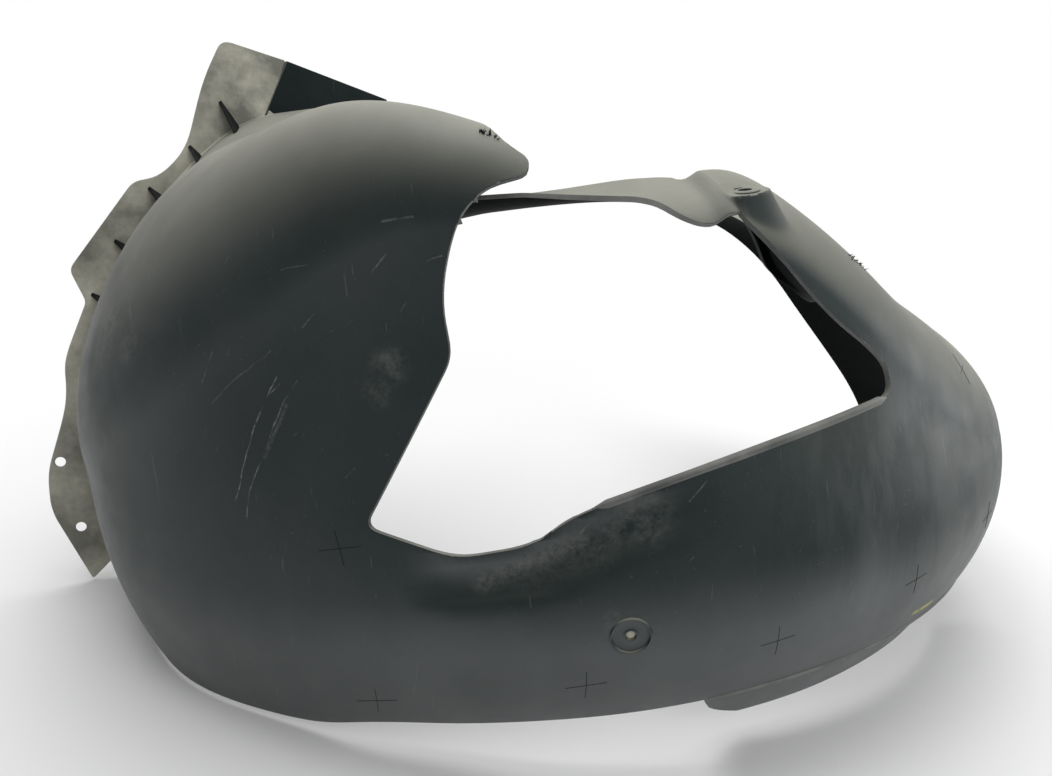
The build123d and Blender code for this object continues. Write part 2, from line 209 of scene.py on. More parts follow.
# Ridge of a cross in metres: distance across and height above the skin
CROSS_RIDGE = ((-0.0003, -0.0002), (0, 0.00022), (0.0003, -0.0002))

# Camera: place in metres, directions, focal length in pixels of a 1052 by 776 picture
CAMERA = Vector((-0.26114, -0.57392, 0.35207))
FORWARD = Vector((0.38551, 0.87533, -0.29186))
DOWN = Vector((-0.11791, -0.26699, -0.95646))
RIGHT = Vector((0.91514, -0.40313, -0.00028))
FOCAL = 800.0
PICTURE = (1052.0, 776.0)

# Scratches, and two wide runs of painted highlight on the shoulder below the window's edge, as runs of
# picture points with half width in millimetres and strength
SCRATCHES_AND_HIGHLIGHTS = [
    ([(276, 377), (266, 398), (254, 428), (245, 463), (236, 500)], 0.55, 0.8),
    ([(279, 383), (268, 396)], 0.4, 0.6),
    ([(297, 381), (283, 402), (272, 427), (262, 461), (249, 492), (247, 516)], 0.6, 0.8),
    ([(286, 405), (274, 432), (264, 458)], 1.6, 0.25),
    ([(270, 351), (231, 383), (212, 402)], 0.6, 0.3),
    ([(212, 353), (202, 382)], 0.5, 0.4),
    ([(387, 254), (370, 273)], 0.6, 0.5),
    ([(383, 222), (413, 217)], 1.0, 0.4),
    ([(428, 260), (442, 256)], 0.5, 0.5),
    ([(313, 314), (301, 328)], 0.5, 0.4),
    ([(281, 270), (315, 261)], 0.4, 0.3),
    ([(690, 502), (710, 477)], 0.6, 0.35),
    ([(675, 575), (695, 557)], 0.4, 0.35),
    ([(571, 546), (590, 522)], 0.5, 0.5),
    # The next two wide runs are a painted highlight on the shoulder below the window's edge
    ([(484, 581), (527, 564), (580, 542)], 9.0, 0.22),
    ([(520, 572), (560, 556), (600, 548)], 13.0, 0.12),
    ([(598, 550), (604, 544)], 0.5, 0.4),
]
FINE_SCRATCHES = 16
# Dusty and scuffed patches, the last two of them painted reflections on the left band: picture point,
# radius in millimetres, strength
PATCHES_AND_REFLECTIONS = [
    ((388, 366), 15.0, 0.26), ((378, 392), 12.0, 0.2), ((640, 516), 24.0, 0.24), ((610, 530), 16.0, 0.2),
    ((612, 622), 9.0, 0.16), ((108, 330), 26.0, 0.25), ((128, 345), 16.0, 0.2),
]
FLOW_MARKS = (912, 500)
FLOW_REACH = 120.0
PAINT_SMEAR = [(903, 630), (914, 613), (931, 602)]
# Ragged edges as two picture points each
BURRS = [((480, 131), (497, 137)), ((846, 253), (868, 270))]
WHISKERS = 34
# Painted shade: edges near this point at the far end, in the design frame, stay dark up to the first radius
# in metres
SHADE_POINT = (150.0, -60.0, 260.0)
SHADE_RADII = (0.262, 0.295)
FLOOR_FADE = (0.35, 0.85)

X_AXIS = np.array((1.0, 0.0, REST_DX)) / math.hypot(1.0, REST_DX)
Z_AXIS = np.array((-REST_DX, -REST_DY, 1.0)) / math.sqrt(1.0 + REST_DX ** 2 + REST_DY ** 2)
TURN = np.array((X_AXIS, np.cross(Z_AXIS, X_AXIS), Z_AXIS))
random.seed(7)


def to_row(points):
    return (np.asarray(points, float) @ TURN.T + SHIFT) / 1000.0


def to_design(points):
    return (np.asarray(points, float) * 1000.0 - SHIFT) @ TURN


def rest_z(x, y):
    return REST_Z + REST_DX * x + REST_DY * y


def on_arch(heading, radius, height, shift=0.0):
    a = np.radians(heading)
    return np.stack(np.broadcast_arrays(radius * np.sin(a), shift - radius * np.cos(a), height), axis=-1)


def spline(values, u):
    """Natural cubic curve through values at 0, 1, 2 and so on, read at u."""
    y = np.asarray(values, float)
    n = len(y)
    a = np.eye(n)
    b = np.zeros_like(y)
    for k in range(1, n - 1):
        a[k, k - 1:k + 2] = (1, 4, 1)
        b[k] = 6 * (y[k - 1] - 2 * y[k] + y[k + 1])
    m = np.linalg.solve(a, b)
    i = np.clip(u.astype(int), 0, n - 2)
    t = (u - i)[:, None]
    s = 1 - t
    return s * y[i] + t * y[i + 1] + ((s ** 3 - s) * m[i] + (t ** 3 - t) * m[i + 1]) / 6


def cubic(points, t):
    w = ((1 - t) ** 3, 3 * t * (1 - t) ** 2, 3 * t * t * (1 - t), t ** 3)
    return sum(k * p[0] for k, p in zip(w, points)), sum(k * p[1] for k, p in zip(w, points))


def shoulder(r, wide, top, reach, drop, full, inset=0.0):
    side = r - WALL_LEAN * (top - drop - wide)
    start = (side - inset, top - drop)
    lift = (side - inset, top - drop + full * (drop - inset))
    draw = (r - reach + full * (side - r + reach - inset), top - inset)
    return start, lift, draw, (r - reach, top - inset)


def rim_of(st):
    """Height of the rim and of the widest point. The rear rim follows the rest plane."""
    heading, shift, r, rim, tuck = st[:5]
    p = on_arch(heading, r - tuck, 0.0, shift)
    flat = rest_z(p[..., 0], p[..., 1]) + 0.5
    low = (rim + flat + np.sqrt((rim - flat) ** 2 + RIM_BLEND ** 2)) / 2
    return low, low + RIM_RISE


def profile(table):
    """Points across the shell for each row of the table, from the rim to the end of the band."""
    st = [column[:, None] for column in table.T]
    r = st[2]
    tuck, top, reach, drop, full, band, fall = st[4:]
    low, wide = rim_of(st)
    bend = (RIM_RISE ** 2 + tuck ** 2) / (2 * tuck)
    a = np.arcsin(RIM_RISE / bend) * np.linspace(1, 0, RIM_ROWS + 1)[None, :]
    rim_part = (r - bend + bend * np.cos(a), wide - bend * np.sin(a))
    curve = shoulder(r, wide, top, reach, drop, full)
    third = (curve[0][1] - wide) / 3
    t = np.linspace(0, 1, WALL_ROWS + 1)[None, 1:]
    wall = ((r, wide), (r, wide + third), (curve[0][0], curve[0][1] - third), curve[0])
    wall_part = cubic(wall, t)
    t = np.linspace(0, 1, SHOULDER_ROWS + 1)[None, 1:]
    shoulder_part = cubic(curve, t)
    t = np.linspace(0, 1, BAND_ROWS + 1)[None, 1:]
    band_part = (r - reach - band * t, top - fall * t)
    parts = (rim_part, wall_part, shoulder_part, band_part)
    return np.concatenate([p[0] for p in parts], axis=1), np.concatenate([p[1] for p in parts], axis=1)


def table_at(heading):
    return spline(STATIONS, STATION_OF_REAR + (np.asarray(heading, float) + 90.0) / STATION_STEP)


def quads(columns, rows):
    faces = []
    for i in range(columns - 1):
        for j in range(rows - 1):
            a = i * rows + j
            faces.append((a, a + rows, a + rows + 1, a + 1))
    return faces


def rounded(corners):
    """Outline with each corner turned into a short arc-like curve."""
    out = []
    for k, (x, z, radius) in enumerate(corners):
        p = np.array((x, z), float)
        if radius == 0:
            out.append(p)
            continue
        one = np.array(corners[k - 1][:2], float) - p
        two = np.array(corners[(k + 1) % len(corners)][:2], float) - p
        reach_one = min(radius, 0.45 * np.linalg.norm(one))
        reach_two = min(radius, 0.45 * np.linalg.norm(two))
        a = p + one / np.linalg.norm(one) * reach_one
        b = p + two / np.linalg.norm(two) * reach_two
        for t in np.linspace(0, 1, 7):
            out.append((1 - t) ** 2 * a + 2 * t * (1 - t) * p + t * t * b)
    return out


def inside(points, outline):
    x, z = points.T
    hit = np.zeros(len(points), bool)
    for k in range(len(outline)):
        (x1, z1), (x2, z2) = outline[k - 1], outline[k]
        if z1 != z2:
            hit ^= ((z1 > z) != (z2 > z)) & (x < x1 + (z - z1) / (z2 - z1) * (x2 - x1))
    return hit


def middles(faces):
    return to_design([f.calc_center_median() for f in faces]).reshape(-1, 3)


def carve(bm, outline, part):
    """Cut an outline, drawn in X and Z, out of the faces that part picks by their centres."""
    along = Vector(TURN @ np.array((0.0, 1.0, 0.0)))
    outline = [np.array(p, float) for p in outline]
    faces = list(bm.faces)
    centres = middles(faces)
    picked = part(centres)
    faces = [f for f, ok in zip(faces, picked) if ok]
    centres = centres[picked]
    for k in range(len(outline)):
        a, b = outline[k - 1], outline[k]
        size = np.linalg.norm(b - a)
        if size < 1e-6:
            continue
        p = Vector(to_row((a[0], 0, a[1])))
        q = Vector(to_row((b[0], 0, b[1])))
        rel = centres[:, (0, 2)] - a
        u = np.clip(rel @ (b - a) / size ** 2, 0, 1)
        close = np.linalg.norm(rel - u[:, None] * (b - a), axis=1) < CUT_REACH
        near = [f for f, ok in zip(faces, close) if ok]
        if not near:
            continue
        geom = dict.fromkeys(near)
        for f in near:
            geom.update(dict.fromkeys(f.edges))
            geom.update(dict.fromkeys(f.verts))
        plane = (q - p).cross(along).normalized()
        cut = bmesh.ops.bisect_plane(bm, geom=list(geom), dist=1e-6, plane_co=p, plane_no=plane)
        fresh = [g for g in cut["geom"] if isinstance(g, bmesh.types.BMFace)]
        faces = [f for f, ok in zip(faces, close) if not ok] + fresh
        centres = np.concatenate((centres[~close], middles(fresh)))
    gone = [f for f, ok in zip(faces, inside(centres[:, (0, 2)], outline)) if ok]
    bmesh.ops.delete(bm, geom=gone, context="FACES")


def folds(gone, kept):
    """Whether moving one point onto another turns a face over."""
    for f in gone.link_faces:
        if kept not in f.verts:
            turned = normal_of([kept.co if v is gone else v.co for v in f.verts])
            if turned.dot(f.normal) < 0.7:
                return True
    return False


def even_edge(bm, reach):
    """Weld points that crowd an open edge."""
    for _ in range(4):
        bm.normal_update()
        rim = dict.fromkeys(v for e in bm.edges if e.is_boundary for v in e.verts)
        welds = {}
        used = set()
        for v in rim:
            for e in v.link_edges:
                other = e.other_vert(v)
                near = {w for f in other.link_faces for w in f.verts}
                if other in rim or e.calc_length() > reach or used & near or folds(other, v):
                    continue
                welds[other] = v
                used.add(other)
        bmesh.ops.weld_verts(bm, targetmap=welds)
        bm.normal_update()
        welds = {}
        used = set()
        for e in bm.edges:
            short = e.is_boundary and e.calc_length() < reach
            if short and not used.intersection(e.verts) and not folds(*e.verts):
                welds[e.verts[0]] = e.verts[1]
                used.update(e.verts)
        bmesh.ops.weld_verts(bm, targetmap=welds)
    bmesh.ops.dissolve_degenerate(bm, dist=1e-5, edges=bm.edges)


def piece(name, bm, finishes, solid=0.0, bevel=0.0):
    """Object from a bmesh in metres, with thickness and broken edges. Finishes: face, inner face, rim."""
    mesh = bpy.data.meshes.new(name)
    bm.to_mesh(mesh)
    bm.free()
    mesh.polygons.foreach_set("use_smooth", [True] * len(mesh.polygons))
    for finish in finishes:
        mesh.materials.append(finish)
    obj = bpy.data.objects.new(name, mesh)
    bpy.context.scene.collection.objects.link(obj)
    if solid:
        thick = obj.modifiers.new("Wall", "SOLIDIFY")
        thick.thickness = solid / 1000
        thick.offset = -1
        thick.material_offset = min(1, len(finishes) - 1)
        thick.material_offset_rim = min(2, len(finishes) - 1)
    if bevel:
        edge = obj.modifiers.new("Edge", "BEVEL")
        edge.width = bevel / 1000
        edge.segments = 2
        edge.limit_method = "ANGLE"
        edge.angle_limit = math.radians(45)
        edge.use_clamp_overlap = False
        join = obj.modifiers.new("Join", "WELD")
        join.merge_threshold = 1e-5
    normal = obj.modifiers.new("Normal", "WEIGHTED_NORMAL")
    normal.keep_sharp = True
    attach(obj, "root")
    return obj


def from_points(points, faces):
    bm = bmesh.new()
    verts = [bm.verts.new(p) for p in to_row(points)]
    for f in faces:
        bm.faces.new([verts[k] for k in f])
    return bm


def circle(cx, cz, r, count=32):
    turns = [2 * math.pi * k / count for k in range(count)]
    return [(cx + r * math.cos(a), cz + r * math.sin(a)) for a in turns]


def plate(outline, holes, place, facing):
    """Flat sheet with round holes. place turns its two coordinates into design points."""
    bm = bmesh.new()
    edges = []
    for loop in [outline] + holes:
        verts = [bm.verts.new(to_row(place(*p))) for p in loop]
        edges += [bm.edges.new((verts[k - 1], verts[k])) for k in range(len(verts))]
    bmesh.ops.triangle_fill(bm, use_beauty=True, use_dissolve=False, edges=edges)
    bmesh.ops.recalc_face_normals(bm, faces=bm.faces)
    if sum(f.normal.dot(Vector(TURN @ np.array(facing))) for f in bm.faces) < 0:
        bmesh.ops.reverse_faces(bm, faces=bm.faces)
    return bm


def lathe(profile_points, origin, axis, count=56):
    """Ring turned about an axis, from a closed run of radius and height pairs in millimetres."""
    z = np.array(axis, float) / np.linalg.norm(axis)
    x = np.cross((0.0, 0.0, 1.0) if abs(z[2]) < 0.9 else (1.0, 0.0, 0.0), z)
    x /= np.linalg.norm(x)
    y = np.cross(z, x)
    points = []
    for k in range(count):
        a = 2 * math.pi * k / count
        for r, h in profile_points:
            points.append(np.array(origin) + r * math.cos(a) * x + r * math.sin(a) * y + h * z)
    rows = len(profile_points)
    faces = []
    for k in range(count):
        for j in range(rows):
            n = ((k + 1) % count) * rows
            m = (j + 1) % rows
            faces.append((k * rows + j, n + j, n + m, k * rows + m))
    bm = from_points(points, faces)
    bmesh.ops.remove_doubles(bm, verts=bm.verts, dist=1e-6)
    bmesh.ops.recalc_face_normals(bm, faces=bm.faces)
    return bm


def tube(line, radius, sides=14):
    """Round rod along a line of design points, drawn in at both ends."""
    points = []
    for k, p in enumerate(line):
        ahead = line[min(k + 1, len(line) - 1)] - line[max(k - 1, 0)]
        ahead /= np.linalg.norm(ahead)
        across = np.cross(ahead, (0.0, 1.0, 0.3))
        across /= np.linalg.norm(across)
        up = np.cross(ahead, across)
        taper = min(1.0, 0.2 + 0.2 * min(k, len(line) - 1 - k))
        for n in range(sides):
            a = 2 * math.pi * n / sides
            points.append(p + radius * taper * (math.cos(a) * across + math.sin(a) * up))
    faces = []
    for k in range(len(line) - 1):
        for n in range(sides):
            m = (n + 1) % sides
            faces.append((k * sides + n, k * sides + m, (k + 1) * sides + m, (k + 1) * sides + n))
    faces += [tuple(range(sides))[::-1], tuple((len(line) - 1) * sides + n for n in range(sides))]
    bm = from_points(points, faces)
    bmesh.ops.recalc_face_normals(bm, faces=bm.faces)
    return bm


def node(tree, kind, **values):
    n = tree.nodes.new(kind)
    for key, value in values.items():
        setattr(n, key, value)
    return n


def plastic(name, colour, dust, film_amount, top_dust_and_light_amount, floor_reflection_amount, rough, gloss, marks=None, painted_shade=None):
    """Worn plastic: cloudy body, dust film, dust with painted top light on faces turned up, painted floor
    reflection on faces turned down, grain, and marks at given places, some of them painted highlights and
    reflections.
    """
    mat = bpy.data.materials.new(name)
    mat.use_nodes = True
    tree = mat.node_tree
    shader = tree.nodes["Principled BSDF"]
    shader.inputs["Specular IOR Level"].default_value = gloss
    shader.inputs["Specular Tint"].default_value = (0.85, 1.0, 1.0, 1.0)
    coords = node(tree, "ShaderNodeTexCoord")
    where = coords.outputs["Object"]

    def feed(socket, value):
        if isinstance(value, bpy.types.NodeSocket):
            tree.links.new(value, socket)
        else:
            socket.default_value = value

    def noise(scale, detail, stretch=(1, 1, 1), roughness=0.55, turn=(0, 0, 0), out="Fac"):
        m = node(tree, "ShaderNodeMapping")
        m.inputs["Scale"].default_value = stretch
        m.inputs["Rotation"].default_value = turn
        feed(m.inputs["Vector"], where)
        n = node(tree, "ShaderNodeTexNoise")
        n.inputs["Scale"].default_value = scale
        n.inputs["Detail"].default_value = detail
        n.inputs["Roughness"].default_value = roughness
        feed(n.inputs["Vector"], m.outputs["Vector"])
        return n.outputs[out]

    def ramp(value, low, high, out_low=0.0, out_high=1.0, kind="LINEAR"):
        n = node(tree, "ShaderNodeMapRange", interpolation_type=kind)
        n.inputs["From Min"].default_value = low
        n.inputs["From Max"].default_value = high
        n.inputs["To Min"].default_value = out_low
        n.inputs["To Max"].default_value = out_high
        feed(n.inputs["Value"], value)
        return n.outputs["Result"]

    def calc(op, a, b, clamp=False):
        n = node(tree, "ShaderNodeMath", operation=op, use_clamp=clamp)
        feed(n.inputs[0], a)
        feed(n.inputs[1], b)
        return n.outputs["Value"]

    def vec(op, a, b, out="Vector"):
        n = node(tree, "ShaderNodeVectorMath", operation=op)
        feed(n.inputs[0], a)
        feed(n.inputs["Scale" if op == "SCALE" else 1], b)
        return n.outputs[out]

    def mix(fac, a, b):
        n = node(tree, "ShaderNodeMix", data_type="RGBA")
        feed(n.inputs["Factor"], fac)
        feed(n.inputs[6], a + (1.0,) if isinstance(a, tuple) else a)
        feed(n.inputs[7], b + (1.0,) if isinstance(b, tuple) else b)
        return n.outputs[2]

    def stroke(spot, a, b, half, strength):
        """Strength near the straight line from a to b, falling to nothing at half width."""
        run = b - a
        from_a = vec("SUBTRACT", spot, a)
        t = calc("ADD", vec("DOT_PRODUCT", from_a, run / run.length_squared, "Value"), 0.0, True)
        away = vec("DISTANCE", from_a, vec("SCALE", run, t), "Value")
        return ramp(away, 0.2 * half / 1000, half / 1000, strength, 0.0)

    body = mix(ramp(noise(9.0, 4.0), 0.35, 0.7), colour, tuple(1.5 * c for c in colour))
    wobble = vec("SCALE", vec("SUBTRACT", noise(40.0, 3.0, out="Color"), (0.5, 0.5, 0.5)), 0.004)
    spot = vec("ADD", where, wobble)
    if marks:
        flow_at, flow_reach = marks["flow"]
        away = vec("DISTANCE", where, flow_at, "Value")
        near = ramp(away, 0.3 * flow_reach, flow_reach, 1.0, 0.0, "SMOOTHSTEP")
        streak = ramp(noise(34.0, 4.0, (1.0, 1.0, 0.14), 0.6, (0.0, 0.35, 0.0)), 0.42, 0.62, -0.2, 1.0)
        body = mix(calc("MULTIPLY", near, calc("MULTIPLY", streak, 0.5)), body, (0.055, 0.058, 0.057))
    facing = node(tree, "ShaderNodeSeparateXYZ")
    feed(facing.inputs[0], coords.outputs["Normal"])
    # Faces turned up take the dust colour: real settled dust together with painted top light
    top_dust_and_light = ramp(facing.outputs["Z"], 0.22, 0.95, 0.0, top_dust_and_light_amount, "SMOOTHSTEP")
    top_dust_and_light = calc("MULTIPLY", top_dust_and_light, ramp(noise(7.0, 5.0), 0.3, 0.6, 0.65, 1.0))
    film = calc("MULTIPLY", ramp(noise(15.0, 8.0, roughness=0.65), 0.40, 0.74), film_amount)
    specks = calc("MULTIPLY", ramp(noise(420.0, 3.0), 0.66, 0.74), 0.3 * film_amount + 0.06)
    dust_wear_and_light = calc("MAXIMUM", calc("ADD", top_dust_and_light, film, True), specks)
    body = mix(dust_wear_and_light, body, dust)
    # Painted reflection of the floor: faces turned down are lightened towards a pale grey
    floor_reflection = ramp(facing.outputs["Z"], 0.21, -0.18, 0.0, floor_reflection_amount, "SMOOTHSTEP")
    floor_reflection = calc("MULTIPLY", floor_reflection, ramp(noise(11.0, 6.0), 0.25, 0.6, 0.7, 1.0))
    body = mix(floor_reflection, body, (0.29, 0.295, 0.30))
    hair = calc("MAXIMUM",
                ramp(noise(34.0, 3.0, (9.0, 0.5, 0.7), 0.6, (0.0, 0.5, 0.3)), 0.69, 0.72),
                ramp(noise(30.0, 3.0, (9.0, 0.5, 0.6), 0.6, (0.0, -0.7, 0.2)), 0.70, 0.73))
    body = mix(calc("MULTIPLY", hair, 0.16), body, (0.17, 0.175, 0.165))
    if marks:
        broken = ramp(noise(330.0, 4.0, roughness=0.7), 0.36, 0.60, 0.1, 1.0)
        cloud = ramp(noise(120.0, 7.0, roughness=0.75), 0.42, 0.66)
        # Scratches and scuffed patches, with painted highlights and reflections among them
        wear_and_highlights = 0.0
        for line, half, strength in marks["scratches_and_highlights"]:
            for a, b in zip(line, line[1:]):
                wear_and_highlights = calc("MAXIMUM", stroke(spot, a, b, half, strength), wear_and_highlights)
        wear_and_highlights = calc("MULTIPLY", wear_and_highlights, broken)
        for centre, reach, strength in marks["patches_and_reflections"]:
            away = vec("DISTANCE", spot, centre, "Value")
            blot = ramp(away, 0.25 * reach / 1000, reach / 1000, strength, 0.0, "SMOOTHSTEP")
            wear_and_highlights = calc("MAXIMUM", wear_and_highlights, calc("MULTIPLY", blot, cloud))
        body = mix(wear_and_highlights, body, (0.21, 0.215, 0.195))
        smear = 0.0
        for a, b in zip(marks["smear"], marks["smear"][1:]):
            smear = calc("MAXIMUM", stroke(spot, a, b, 3.2, 0.9), smear)
        body = mix(calc("MULTIPLY", smear, broken), body, (0.42, 0.40, 0.04))
        dust_wear_and_light = calc("MAXIMUM", dust_wear_and_light, wear_and_highlights)
    # Painted shade: edges near the given point are darkened to the black body colour
    if painted_shade:
        centre, low, high = painted_shade
        body = mix(ramp(vec("DISTANCE", where, centre, "Value"), low, high, 1.0, 0.0), body, BLACK)
    feed(shader.inputs["Base Color"], body)
    grain = ramp(noise(35.0, 5.0), 0.3, 0.7, rough - 0.06, rough + 0.06)
    feed(shader.inputs["Roughness"], calc("ADD", grain, calc("MULTIPLY", dust_wear_and_light, 0.3), True))
    bump = node(tree, "ShaderNodeBump")
    bump.inputs["Strength"].default_value = 0.14
    bump.inputs["Distance"].default_value = 0.0006
    feed(bump.inputs["Height"], calc("ADD", noise(900.0, 2.0), calc("MULTIPLY", noise(24.0, 3.0), 2.5)))
    feed(shader.inputs["Normal"], bump.outputs["Normal"])
    return mat


# Shell with the strap grown out of it
u = np.linspace(0, len(STATIONS) - 1, (len(STATIONS) - 1) * COLUMNS_PER_STATION + 1)
table = spline(STATIONS, u)
radius, height = profile(table)
wave = np.radians(table[:, :1])
ripple = sum(share * np.sin(count * wave + slant * height) for share, count, slant in RIPPLES)
radius = radius + WAVE * (ripple - WAVE_BIAS)
flat = np.stack((radius * np.sin(wave), height), axis=-1)
away = np.full(radius.shape, 1e3)
for a, b in zip(np.array(GROOVE, float), np.array(GROOVE[1:], float)):
    t = np.clip((flat - a) @ (b - a) / ((b - a) @ (b - a)), 0, 1)
    away = np.minimum(away, np.linalg.norm(flat - a - t[..., None] * (b - a), axis=-1))
rear = np.clip((flat[..., 0] - GROOVE[0][0]) / GROOVE_REAR_FADE, 0, 1)
front = np.clip((GROOVE[-1][0] - flat[..., 0]) / GROOVE_FRONT_FADE, 0, 1)
dip = GROOVE_DEEP * (rear * front) * np.exp(-(away / GROOVE_WIDE) ** 2)
radius = radius - np.where(np.cos(wave) > 0, dip, 0.0)
grid = on_arch(table[:, :1], radius, height, table[:, 1:2])
columns, rows = radius.shape
skin = from_points(grid.reshape(-1, 3), quads(columns, rows))

seam = table[STRAP_COLUMN, 0]
first_row = int(np.nonzero(height[STRAP_COLUMN] >= STRAP_FOOT_Z)[0][0])


def front_wall(c):
    """Faces that the window may cut: the front wall, the rear dome, and what the strap takes over."""
    high = c[:, 2] > STRAP_FOOT_Z - 1.0
    kept = high & (np.degrees(np.arctan2(c[:, 0], -c[:, 1])) > seam)
    outer = (np.hypot(c[:, 0], c[:, 1]) > WINDOW_WALL_R) | (c[:, 0] < WINDOW_DOME_X) | high
    return (c[:, 1] < WINDOW_FRONT_Y) & ~kept & outer


carve(skin, rounded(WINDOW), front_wall)
bmesh.ops.bisect_plane(
    skin, geom=[g for group in (skin.verts, skin.edges, skin.faces) for g in group], dist=1e-6,
    plane_co=Vector(to_row((150.0, FRONT_END_Y, FRONT_END_Z))),
    plane_no=Vector(TURN @ np.array((0.0, 1.0, -FRONT_END_SLOPE))).normalized(),
)
faces = list(skin.faces)
c = middles(faces)
past = (c[:, 0] > 100.0) & (c[:, 1] > FRONT_END_Y + (c[:, 2] - FRONT_END_Z) * FRONT_END_SLOPE)
bmesh.ops.delete(skin, geom=[f for f, ok in zip(faces, past) if ok], context="FACES")

headings = np.linspace(-35.0, seam, 61)
own_radius, own_height = profile(table_at(headings))
own = np.stack((own_radius, own_height), axis=-1)[:, first_row:]
knots = np.array([s[0] for s in STRAP_STATIONS])[::-1]
shape = np.array([s[1:] for s in STRAP_STATIONS])[::-1].reshape(len(knots), 6)
lines = np.stack([np.interp(headings, knots, shape[:, k]) for k in range(6)], axis=1)
for _ in range(2):
    lines[1:-1] = (lines[:-2] + 2 * lines[1:-1] + lines[2:]) / 4
lines = lines.reshape(-1, 1, 3, 2)
s = np.linspace(0, 1, own.shape[1])[None, :, None]
middle = 2 * lines[:, :, 1] - 0.5 * (lines[:, :, 0] + lines[:, :, 2])
strap = (1 - s) ** 2 * lines[:, :, 0] + 2 * s * (1 - s) * middle + s * s * lines[:, :, 2]
w = np.clip((seam - headings) / STRAP_BLEND, 0, 1)
w = (w * w * (3 - 2 * w))[:, None, None]
strap = (1 - w) * own + w * strap
strap_points = on_arch(headings[:, None], strap[..., 0], strap[..., 1])
strap_points[-1] = grid[STRAP_COLUMN, first_row:]
arm = from_points(strap_points.reshape(-1, 3), quads(len(headings), own.shape[1]))
spare = bpy.data.meshes.new("strap")
arm.to_mesh(spare)
arm.free()
skin.from_mesh(spare)
bpy.data.meshes.remove(spare)
bmesh.ops.remove_doubles(skin, verts=skin.verts, dist=2e-5)

# Screw boss, drawn up out of the sheet
lean = math.radians(BOSS_LEAN)
boss_axis = on_arch(BOSS_HEADING, math.sin(lean), math.cos(lean))
boss_top = on_arch(BOSS_HEADING, TREAD_R - BOSS_INSET, BOSS_TOP_Z)
boss_run = on_arch(BOSS_HEADING + 90.0, 1.0, 0.0)
faces = list(skin.faces)
around = np.linalg.norm(middles(faces) - boss_top, axis=1) < BOSS_REACH
edges = dict.fromkeys(e for f, ok in zip(faces, around) if ok for e in f.edges)
bmesh.ops.subdivide_edges(skin, edges=list(edges), cuts=2, use_grid_fill=True)
for v in skin.verts:
    p = to_design(v.co) - boss_top
    up = p @ boss_axis
    along = p @ boss_run
    out = math.hypot(along / BOSS_STRETCH, np.linalg.norm(p - up * boss_axis - along * boss_run))
    if out > BOSS_REACH or abs(up) > 2 * BOSS_REACH:
        continue
    cone = -BOSS_HIGH * max(0.0, out - BOSS_TOP_R) / (BOSS_BASE_R - BOSS_TOP_R)
    raised = (up + cone + math.sqrt((up - cone) ** 2 + BOSS_SOFT)) / 2
    share = min(1.0, max(0.0, (BOSS_BASE_R + BOSS_SKIRT - out) / BOSS_FADE))
    v.co += Vector(TURN @ boss_axis) * (share * share * (3 - 2 * share) * (raised - up) / 1000)
faces = list(skin.faces)
c = middles(faces) - boss_top
up = c @ boss_axis
out = np.linalg.norm(c - up[:, None] * boss_axis, axis=1)
open_top = (out < COLLAR_R - COLLAR_SEAT) & (np.abs(up) < COLLAR_DEEP)
bmesh.ops.delete(skin, geom=[f for f, ok in zip(faces, open_top) if ok], context="FACES")

# Clip recess in the crown
at = np.array(next(st for st in STATIONS if st[0] == RECESS_HEADING))
bend = (RIM_RISE ** 2 + at[4] ** 2) / (2 * at[4])
tilt = math.asin((rim_of(at)[1] - RECESS_Z) / bend)
recess_seat = on_arch(RECESS_HEADING, at[2] - bend + bend * math.cos(tilt) - WAVE, RECESS_Z)
recess_axis = on_arch(RECESS_HEADING, math.cos(tilt), -math.sin(tilt))
side = np.cross((0.0, 0.0, 1.0), recess_axis)
side /= np.linalg.norm(side)
up = np.cross(recess_axis, side)
ring = []
for k in range(40):
    a = 2 * math.pi * k / 40
    p = recess_seat + RECESS_R * (math.cos(a) * side + math.sin(a) * up)
    ring.append((p[0], p[2]))
carve(skin, ring, lambda c: c[:, 1] < WINDOW_FRONT_Y)
even_edge(skin, EDGE_CROWD)
tree = BVHTree.FromBMesh(skin)


def seen(spot):
    """Place on the shell that shows at a point of the picture, and the normal there."""
    x, y = spot[0] - PICTURE[0] / 2, spot[1] - PICTURE[1] / 2
    return tree.ray_cast(CAMERA, (FORWARD * FOCAL + RIGHT * x + DOWN * y).normalized())[:2]


def laid(line):
    """Picture points carried onto the shell, without those beside it."""
    return [here for here in (seen(p)[0] for p in line) if here]


scratches_and_highlights = [(laid(line), half, strength) for line, half, strength in SCRATCHES_AND_HIGHLIGHTS]
for _ in range(FINE_SCRATCHES):
    x, y = random.uniform(190, 430), random.uniform(235, 480)
    long = random.uniform(5, 16)
    slope = random.uniform(0.5, 2.4)
    run = (long / math.hypot(1, slope), -long * slope / math.hypot(1, slope))
    ends = laid([(x, y), (x + run[0], y + run[1])])
    scratches_and_highlights.append((ends, random.uniform(0.25, 0.4), random.uniform(0.15, 0.45)))
marks = {
    "scratches_and_highlights": scratches_and_highlights,
    "patches_and_reflections": [(seen(p)[0], reach, strength) for p, reach, strength in PATCHES_AND_REFLECTIONS],
    "flow": (seen(FLOW_MARKS)[0], FLOW_REACH / 1000),
    "smear": laid(PAINT_SMEAR),
}
BLACK = (0.006, 0.0092, 0.0094)
BEIGE = (0.36, 0.355, 0.30)
# Amounts of film, of dust with painted top light on faces turned up, and of painted floor reflection on
# faces turned down, then roughness and gloss
WORN = (BLACK, BEIGE, 0.02, 0.68, 0.27, 0.47, 0.19)
EDGE = ((0.05, 0.052, 0.05), (0.34, 0.34, 0.31), 0.6, 0.3, 0.1, 0.7, 0.25)
SKIN = plastic("worn_black_plastic", *WORN, marks=marks)
PLAIN = plastic("black_plastic", *WORN)
